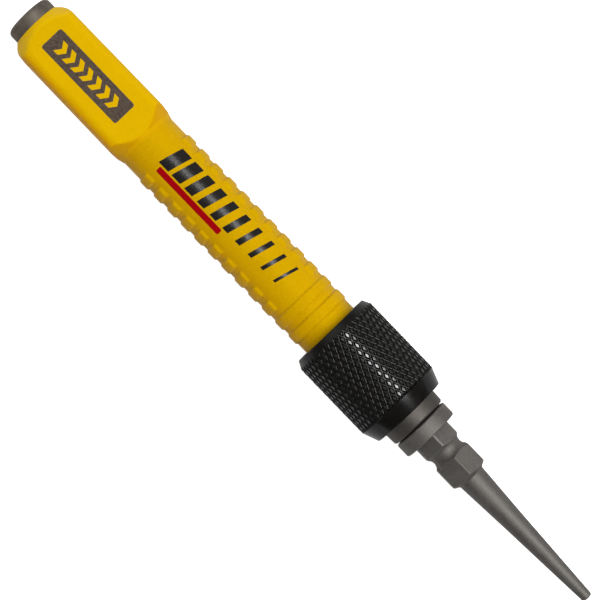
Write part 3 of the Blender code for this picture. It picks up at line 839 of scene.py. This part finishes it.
def black_oxide():
    """The collar's finish: glossy crests, dull groove walls and turned cones at both ends."""
    nodes = Nodes("black_oxide_knurled")
    where = nodes.coords()
    x = nodes.split(where)[0]
    radius = nodes.radius(where)
    front_x = SHELL_BOX[0].x + COLLAR_FRONT_CONE
    rear_x = SHELL_BOX[1].x - COLLAR_REAR_CONE
    mottle = nodes.noise(where, 2.0 * MM, 4.0, 0.6)
    fine = nodes.noise(where, 0.06 * MM, 3.0, 0.7)
    rings = nodes.noise(where, 0.12 * MM, 2.0, 0.5, stretch=(1.0, 0.02, 0.02))
    crest = nodes.span(radius, *[COLLAR_RADIUS - depth for depth in CREST_DEPTHS])
    deep = nodes.span(radius, *[COLLAR_RADIUS - depth for depth in DEEP_DEPTHS])
    in_front = nodes.span(x, front_x, front_x - CONE_FADE)
    in_rear = nodes.span(x, rear_x, rear_x + CONE_FADE)
    plain = nodes.math("MAXIMUM", in_front, in_rear)
    base = nodes.mottled(mottle, OXIDE)
    base = nodes.mix(nodes.math("MULTIPLY", crest, 0.8), base, OXIDE_CREST)
    patchy = nodes.span(mottle, 0.35, 0.65, 0.1, 0.5)
    worn = nodes.math("MULTIPLY", nodes.edges(0.53, 0.62), patchy)
    base = nodes.mix(worn, base, OXIDE_WORN)
    rough = nodes.span(fine, 0.25, 0.75, 0.14, 0.22)
    rough = nodes.mix(in_front, rough, nodes.span(rings, *MOTTLE_RANGE, 0.18, 0.28))
    rough = nodes.mix(in_rear, rough, nodes.span(rings, *MOTTLE_RANGE, 0.3, 0.42))
    gloss = nodes.span(crest, 0.0, 1.0, nodes.span(deep, 0.0, 1.0, 0.03, 0.24), 0.9)
    gloss = nodes.span(plain, 0.0, 1.0, gloss, 0.23)
    nodes.set(Base_Color=base, Metallic=0.0, Roughness=rough, Specular_IOR_Level=gloss)
    grain = nodes.bump(fine, 0.005 * MM, 0.15)
    lathe = nodes.bump(rings, 0.003 * MM, nodes.math("MULTIPLY", plain, 0.4), grain)
    nodes.put(nodes.shader.inputs["Normal"], lathe)
    return nodes.material


def bar_steel():
    """Turned steel, worn at the struck end's edge, with painted shade ahead of the head, where it
    shows only in the gaps around the collar and the nose ring.
    """
    nodes = Nodes("bar_steel_machined")
    where = nodes.coords()
    mottle = nodes.noise(where, 2.5 * MM, 5.0, 0.6)
    fine = nodes.noise(where, 0.08 * MM, 3.0, 0.7)
    lathe = nodes.noise(where, 0.15 * MM, 3.0, 0.6, stretch=(1.0, 0.03, 0.03))
    base = nodes.mottled(mottle, BAR_STEEL)
    x = nodes.split(where)[0]
    at_end = nodes.span(x, *BAR_WEAR_X, 0.0, 0.6)
    worn = nodes.math("MULTIPLY", nodes.edges(0.52, 0.6), at_end)
    base = nodes.mix(worn, base, BAR_WORN)
    # Painted shade: the bar is darkened ahead of the head, where it shows only in the narrow gaps
    # around the collar and the nose ring
    gap_shade = nodes.span(x, HEAD_START_X, HEAD_START_X - 1 * MM)
    base = nodes.mix(gap_shade, base, BAR_GAP_SHADE)
    nodes.set(Base_Color=base, Metallic=1.0, Roughness=nodes.span(fine, 0.2, 0.8, 0.58, 0.7))
    grain = nodes.bump(fine, 0.008 * MM, 0.5)
    nodes.put(nodes.shader.inputs["Normal"], nodes.bump(lathe, 0.006 * MM, 0.4, grain))
    return nodes.material


def band(nodes, value, low, high):
    """1 between low and high, with a soft edge."""
    rise = nodes.span(value, low - PRINT_EDGE, low + PRINT_EDGE)
    fall = nodes.span(value, high - PRINT_EDGE, high + PRINT_EDGE, 1.0, 0.0)
    return nodes.math("MULTIPLY", rise, fall)


def patch(nodes, x, up, x_range, up_range, corner):
    """1 inside a rectangle with rounded corners."""
    outside = []
    for value, (low, high) in ((x, x_range), (up, up_range)):
        from_middle = nodes.math("ABSOLUTE", nodes.math("SUBTRACT", value, (low + high) / 2))
        past = nodes.math("SUBTRACT", from_middle, (high - low) / 2 - corner)
        outside.append(nodes.math("MAXIMUM", past, 0.0))
    up_squared = nodes.math("MULTIPLY", outside[1], outside[1])
    squared = nodes.math("MULTIPLY_ADD", outside[0], outside[0], up_squared)
    distance = nodes.math("SQRT", squared)
    return nodes.span(distance, corner + PRINT_EDGE, corner - PRINT_EDGE)


def off_centre(nodes, value, start, pitch):
    """Distance from the middle of the cell of a row of cells, for repeated marks."""
    shifted = nodes.math("DIVIDE", nodes.math("SUBTRACT", value, start), pitch)
    share = nodes.math("SUBTRACT", nodes.math("FRACT", shifted), 0.5)
    return nodes.math("MULTIPLY", nodes.math("ABSOLUTE", share), pitch)


def yellow_plastic():
    """The grip's plastic with its generic printed marks."""
    nodes = Nodes("yellow_moulded")
    where = nodes.coords()
    parts = nodes.split(where)
    x = parts[0]
    up = nodes.math("MULTIPLY", parts[1], -1.0)
    top_side = nodes.span(parts[2], 0.0, 0.5 * MM)
    ragged = nodes.noise(where, 0.12 * MM, 3.0, 0.7)
    wobble = nodes.span(ragged, 0.0, 1.0, -PRINT_WOBBLE, PRINT_WOBBLE)
    x_print = nodes.math("ADD", x, wobble)
    up_print = nodes.math("ADD", up, wobble)

    # Badge on the head: a plain dark panel with a row of chevrons left in the yellow
    panel = patch(nodes, x_print, up_print, BADGE_X, BADGE_UP, BADGE_CORNER)
    lean = nodes.math("MULTIPLY", nodes.math("ABSOLUTE", up_print), CHEVRON_SLANT)
    along = nodes.math("SUBTRACT", x_print, lean)
    pitch = (CHEVRONS_X[1] - CHEVRONS_X[0]) / CHEVRON_COUNT
    first_x = CHEVRONS_X[0] - CHEVRONS_UP[1] * CHEVRON_SLANT / 2
    from_middle = off_centre(nodes, along, first_x, pitch)
    half_width = pitch * CHEVRON_SHARE
    chevrons = nodes.span(from_middle, half_width + PRINT_EDGE, half_width - PRINT_EDGE)
    chevrons = nodes.math("MULTIPLY", chevrons, band(nodes, up_print, *CHEVRONS_UP))
    chevrons = nodes.math("MULTIPLY", chevrons, band(nodes, x_print, *CHEVRONS_X))
    badge = nodes.math("MULTIPLY", panel, nodes.math("SUBTRACT", 1.0, chevrons))

    # Bars on the sleeve: slanted, broad by the head and thin by the collar
    slanted = nodes.math("MULTIPLY_ADD", up_print, BAR_SLANT, x_print)
    pitch = (BARS_X[1] - BARS_X[0]) / BAR_COUNT
    from_middle = off_centre(nodes, slanted, BARS_X[0], pitch)
    half_width = nodes.span(slanted, *BARS_X, BAR_WIDTHS[1] / 2, BAR_WIDTHS[0] / 2)
    inside = nodes.math("SUBTRACT", half_width, from_middle)
    bars = nodes.span(inside, -PRINT_EDGE, PRINT_EDGE)
    bars = nodes.math("MULTIPLY", bars, band(nodes, slanted, *BARS_X))
    bars = nodes.math("MULTIPLY", bars, band(nodes, up_print, *BARS_UP))
    stripe = patch(nodes, x_print, up_print, STRIPE_X, STRIPE_UP, STRIPE_CORNER)

    badge = nodes.math("MULTIPLY", badge, top_side)
    bars = nodes.math("MULTIPLY", bars, top_side)
    stripe = nodes.math("MULTIPLY", stripe, top_side)

    # The head is lighter and more textured than the sleeve. Its colour also follows the way a face
    # points: painted shade, more orange, on faces towards +Y (strongest on the head), and on the
    # head painted light on faces towards the struck end and painted shade on faces towards the tip.
    on_head = nodes.span(x, HEAD_START_X, HEAD_FLATS_START_X)
    cloud = nodes.noise(where, 6.0 * MM, 4.0, 0.55)
    speckle = nodes.noise(where, 0.42 * MM, 3.0, 0.7)
    sleeve = nodes.mottled(cloud, SLEEVE_YELLOW)
    head = nodes.mottled(cloud, HEAD_YELLOW)
    base = nodes.mix(on_head, sleeve, head)
    facing = nodes.split(nodes.add("ShaderNodeNewGeometry").outputs["Normal"])
    shade = nodes.span(facing[1], 0.25, 0.95, 0.0, nodes.span(on_head, 0.0, 1.0, 0.4, 1.0))
    base = nodes.mix(shade, base, SHADED_YELLOW)
    near_head = nodes.span(x, *HEAD_PAINTED_LIGHT_X)
    # Painted light: the head's faces towards the struck end are lightened
    end_light = nodes.math("MULTIPLY", nodes.span(facing[0], 0.1, 0.7), near_head)
    base = nodes.mix(end_light, base, END_LIT_YELLOW)
    # Painted shade: the head's faces towards the tip are darkened
    tip_shade = nodes.math("MULTIPLY", nodes.span(facing[0], -0.05, -0.55), near_head)
    base = nodes.mix(tip_shade, base, TIP_SHADE_YELLOW)
    base = nodes.mix(nodes.span(speckle, 0.35, 0.65, 0.0, 0.35), base, SPECKLE_YELLOW)
    base = nodes.mix(nodes.math("MULTIPLY", nodes.edges(0.52, 0.6), 0.2), base, EDGE_YELLOW)
    badge_ink = nodes.mottled(speckle, BADGE_INK)
    base = nodes.mix(badge, base, badge_ink)
    base = nodes.mix(bars, base, BAR_INK)
    base = nodes.mix(stripe, base, STRIPE_INK)
    rough = nodes.span(speckle, 0.25, 0.75, 0.33, 0.45)
    rough = nodes.math("MULTIPLY_ADD", on_head, 0.08, rough)
    rough = nodes.math("MULTIPLY_ADD", bars, -0.12, rough)
    inked = nodes.math("MAXIMUM", badge, bars)
    sheen_tint = nodes.mix(inked, YELLOW_SHEEN, WHITE)
    gloss = nodes.math("MULTIPLY_ADD", bars, 0.3, 0.09)
    nodes.set(
        Base_Color=base,
        Roughness=rough,
        Metallic=0.0,
        Specular_Tint=sheen_tint,
        Specular_IOR_Level=gloss,
    )
    texture = nodes.noise(where, 0.45 * MM, 3.0, 0.65)
    depth = nodes.math("MULTIPLY_ADD", on_head, 0.9, 0.45)
    nodes.put(nodes.shader.inputs["Normal"], nodes.bump(texture, 0.05 * MM, depth))
    return nodes.material


def spring_steel():
    """Drawn wire and stamped washers."""
    nodes = Nodes("spring_steel_drawn")
    where = nodes.coords()
    mottle = nodes.noise(where, 1.0 * MM, 4.0, 0.6)
    base = nodes.mottled(mottle, SPRING_STEEL)
    rough = nodes.span(mottle, *MOTTLE_RANGE, 0.22, 0.34)
    nodes.set(Base_Color=base, Metallic=1.0, Roughness=rough)
    nodes.put(nodes.shader.inputs["Normal"], nodes.bump(mottle, 0.004 * MM, 0.4))
    return nodes.material


# ---------------------------------------------------------------- floor, light and camera

PICTURE_WIDTH = 114.5 * MM         # what the picture spans at the tool's axis
CAMERA_DISTANCE = 600 * MM
CAMERA_TARGET_X = 79.04 * MM
AXIS_TURN = math.radians(46.1)     # the tip points this far below the picture's right
CAMERA_LEAN = math.radians(3.0)    # the view comes a little from the +Y side
TARGET_OFFSET = -0.126 * MM        # measured towards the picture's upper right
SENSOR_WIDTH = 36.0
CAMERA_CLIP = (0.01, 10.0)
LIGHT_DISTANCE = 1.1
# Each soft box: its name; degrees round the tool, from the view towards the picture's upper
# right; degrees towards the working tip; width, length and radiance
LIGHTS = (
    ("key", 20, 19, 0.3, 1.02, 10.9),
    ("fill", 70, 0, 0.8, 1.6, 0.25),
    ("head_fill", 5, -58, 0.9, 0.8, 1.1),
)
WORLD_LEAN = 10                    # degrees, as for the lights
WORLD_GLOW = (0.08, 0.36)          # darkest and brightest parts of the surrounding studio
BACKDROP_GLOW = 0.7                # added where the camera sees the studio itself
FLOOR_GLOW = 0.9                   # the same for the floor
FLOOR_HALF = 3.0
FLOOR_GAP = 0.02 * MM              # below the tool


def view_axes():
    """The picture's right, up and towards-camera directions in the frame."""
    tip_way = Vector((-1, 0, 0))
    toward = Vector((0, math.sin(CAMERA_LEAN), math.cos(CAMERA_LEAN)))
    across = toward.cross(tip_way)
    right = tip_way * math.cos(AXIS_TURN) + across * math.sin(AXIS_TURN)
    up = across * math.cos(AXIS_TURN) - tip_way * math.sin(AXIS_TURN)
    return right, up, toward, across


def aim(made, location, right, up, toward):
    rotation = Matrix((right, up, toward)).transposed().to_4x4()
    made.matrix_world = Matrix.Translation(location) @ rotation


def make_camera():
    right, up, toward, across = view_axes()
    data = bpy.data.cameras.new("camera")
    data.sensor_width = SENSOR_WIDTH
    data.lens = data.sensor_width * CAMERA_DISTANCE / PICTURE_WIDTH
    data.clip_start, data.clip_end = CAMERA_CLIP
    camera = bpy.data.objects.new("camera", data)
    bpy.context.scene.collection.objects.link(camera)
    target = Vector((CAMERA_TARGET_X, 0, 0)) + across * TARGET_OFFSET
    aim(camera, target + toward * CAMERA_DISTANCE, right, up, toward)
    bpy.context.scene.camera = camera


def make_area_light(name, direction, width, length, radiance):
    """A soft box facing the tool's middle; its length runs along the tool."""
    direction = direction.normalized()
    along = Vector((1, 0, 0))
    side = direction.cross(along).normalized()
    along = side.cross(direction).normalized()
    data = bpy.data.lights.new(name, "AREA")
    data.shape = "RECTANGLE"
    data.size = length
    data.size_y = width
    data.energy = radiance * math.pi * width * length
    light = bpy.data.objects.new(name, data)
    bpy.context.scene.collection.objects.link(light)
    location = Vector((CAMERA_TARGET_X, 0, 0)) + direction * LIGHT_DISTANCE
    aim(light, location, along, side, direction)


def light_direction(lean, tipward):
    """Unit direction from degrees: lean is round the tool, tipward is along it."""
    _, _, toward, across = view_axes()
    around = toward * math.cos(math.radians(lean)) + across * math.sin(math.radians(lean))
    along = Vector((-1, 0, 0))
    return around * math.cos(math.radians(tipward)) + along * math.sin(math.radians(tipward))


def make_light():
    for name, lean, tipward, width, length, radiance in LIGHTS:
        make_area_light(name, light_direction(lean, tipward), width, length, radiance)
    world = bpy.data.worlds.new("studio")
    world.use_nodes = True
    bpy.context.scene.world = world
    tree = world.node_tree
    coords = tree.nodes.new("ShaderNodeTexCoord")
    facing = tree.nodes.new("ShaderNodeVectorMath")
    facing.operation = "DOT_PRODUCT"
    facing.inputs[1].default_value = light_direction(WORLD_LEAN, 0)
    tree.links.new(coords.outputs["Generated"], facing.inputs[0])
    glow = tree.nodes.new("ShaderNodeMapRange")
    glow.inputs["From Min"].default_value = 0.0
    glow.inputs["From Max"].default_value = 1.0
    glow.inputs["To Min"].default_value, glow.inputs["To Max"].default_value = WORLD_GLOW
    tree.links.new(facing.outputs["Value"], glow.inputs["Value"])
    path = tree.nodes.new("ShaderNodeLightPath")
    backdrop = tree.nodes.new("ShaderNodeMath")
    backdrop.operation = "MULTIPLY_ADD"
    backdrop.inputs[1].default_value = BACKDROP_GLOW
    tree.links.new(path.outputs["Is Camera Ray"], backdrop.inputs[0])
    tree.links.new(glow.outputs[0], backdrop.inputs[2])
    background = tree.nodes["Background"]
    background.inputs["Color"].default_value = (*WHITE, 1.0)
    tree.links.new(backdrop.outputs[0], background.inputs["Strength"])


def make_floor():
    mesh = bpy.data.meshes.new("floor")
    level = CAD_BOUNDS[0][2] - FLOOR_GAP
    corners = [(-1, -1), (1, -1), (1, 1), (-1, 1)]
    verts = [(x * FLOOR_HALF, y * FLOOR_HALF, level) for x, y in corners]
    mesh.from_pydata(verts, [], [(0, 1, 2, 3)])
    floor = bpy.data.objects.new("floor", mesh)
    bpy.context.scene.collection.objects.link(floor)
    nodes = Nodes("pale_floor")
    seen = nodes.add("ShaderNodeLightPath").outputs["Is Camera Ray"]
    tone = nodes.noise(nodes.coords(), 20 * MM, 2.0, 0.5)
    nodes.set(
        Base_Color=nodes.mix(tone, *FLOOR_TONES),
        Roughness=0.95,
        Specular_IOR_Level=0.0,
        Emission_Color=(*WHITE, 1.0),
        Emission_Strength=nodes.math("MULTIPLY", seen, FLOOR_GLOW),
    )
    mesh.materials.append(nodes.material)


# ---------------------------------------------------------------- build

blasted = blasted_steel("blasted_steel_bit", BIT_STEEL, BIT_STEEL_WORN, 0.65)
blasted_bush = blasted_steel("blasted_steel_bush", BUSH_STEEL, BUSH_STEEL_WORN, 0.58)
spring = spring_steel()
make_bit(blasted)
make_core(bar_steel())
make_grip(yellow_plastic())
make_collar_shell(black_oxide())
make_collar_bush(blasted_bush)
make_nose_ring(blasted)
make_spring(spring)
# These four stay as the solids they are; only their material is set
for node in ("lock_ring", "nose_snap_ring", "thrust_washer", "spring_seat_washer"):
    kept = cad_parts[node]
    kept.data.materials.clear()
    kept.data.materials.append(spring)
make_floor()
make_light()
make_camera()
bpy.context.scene.view_settings.view_transform = "Standard"
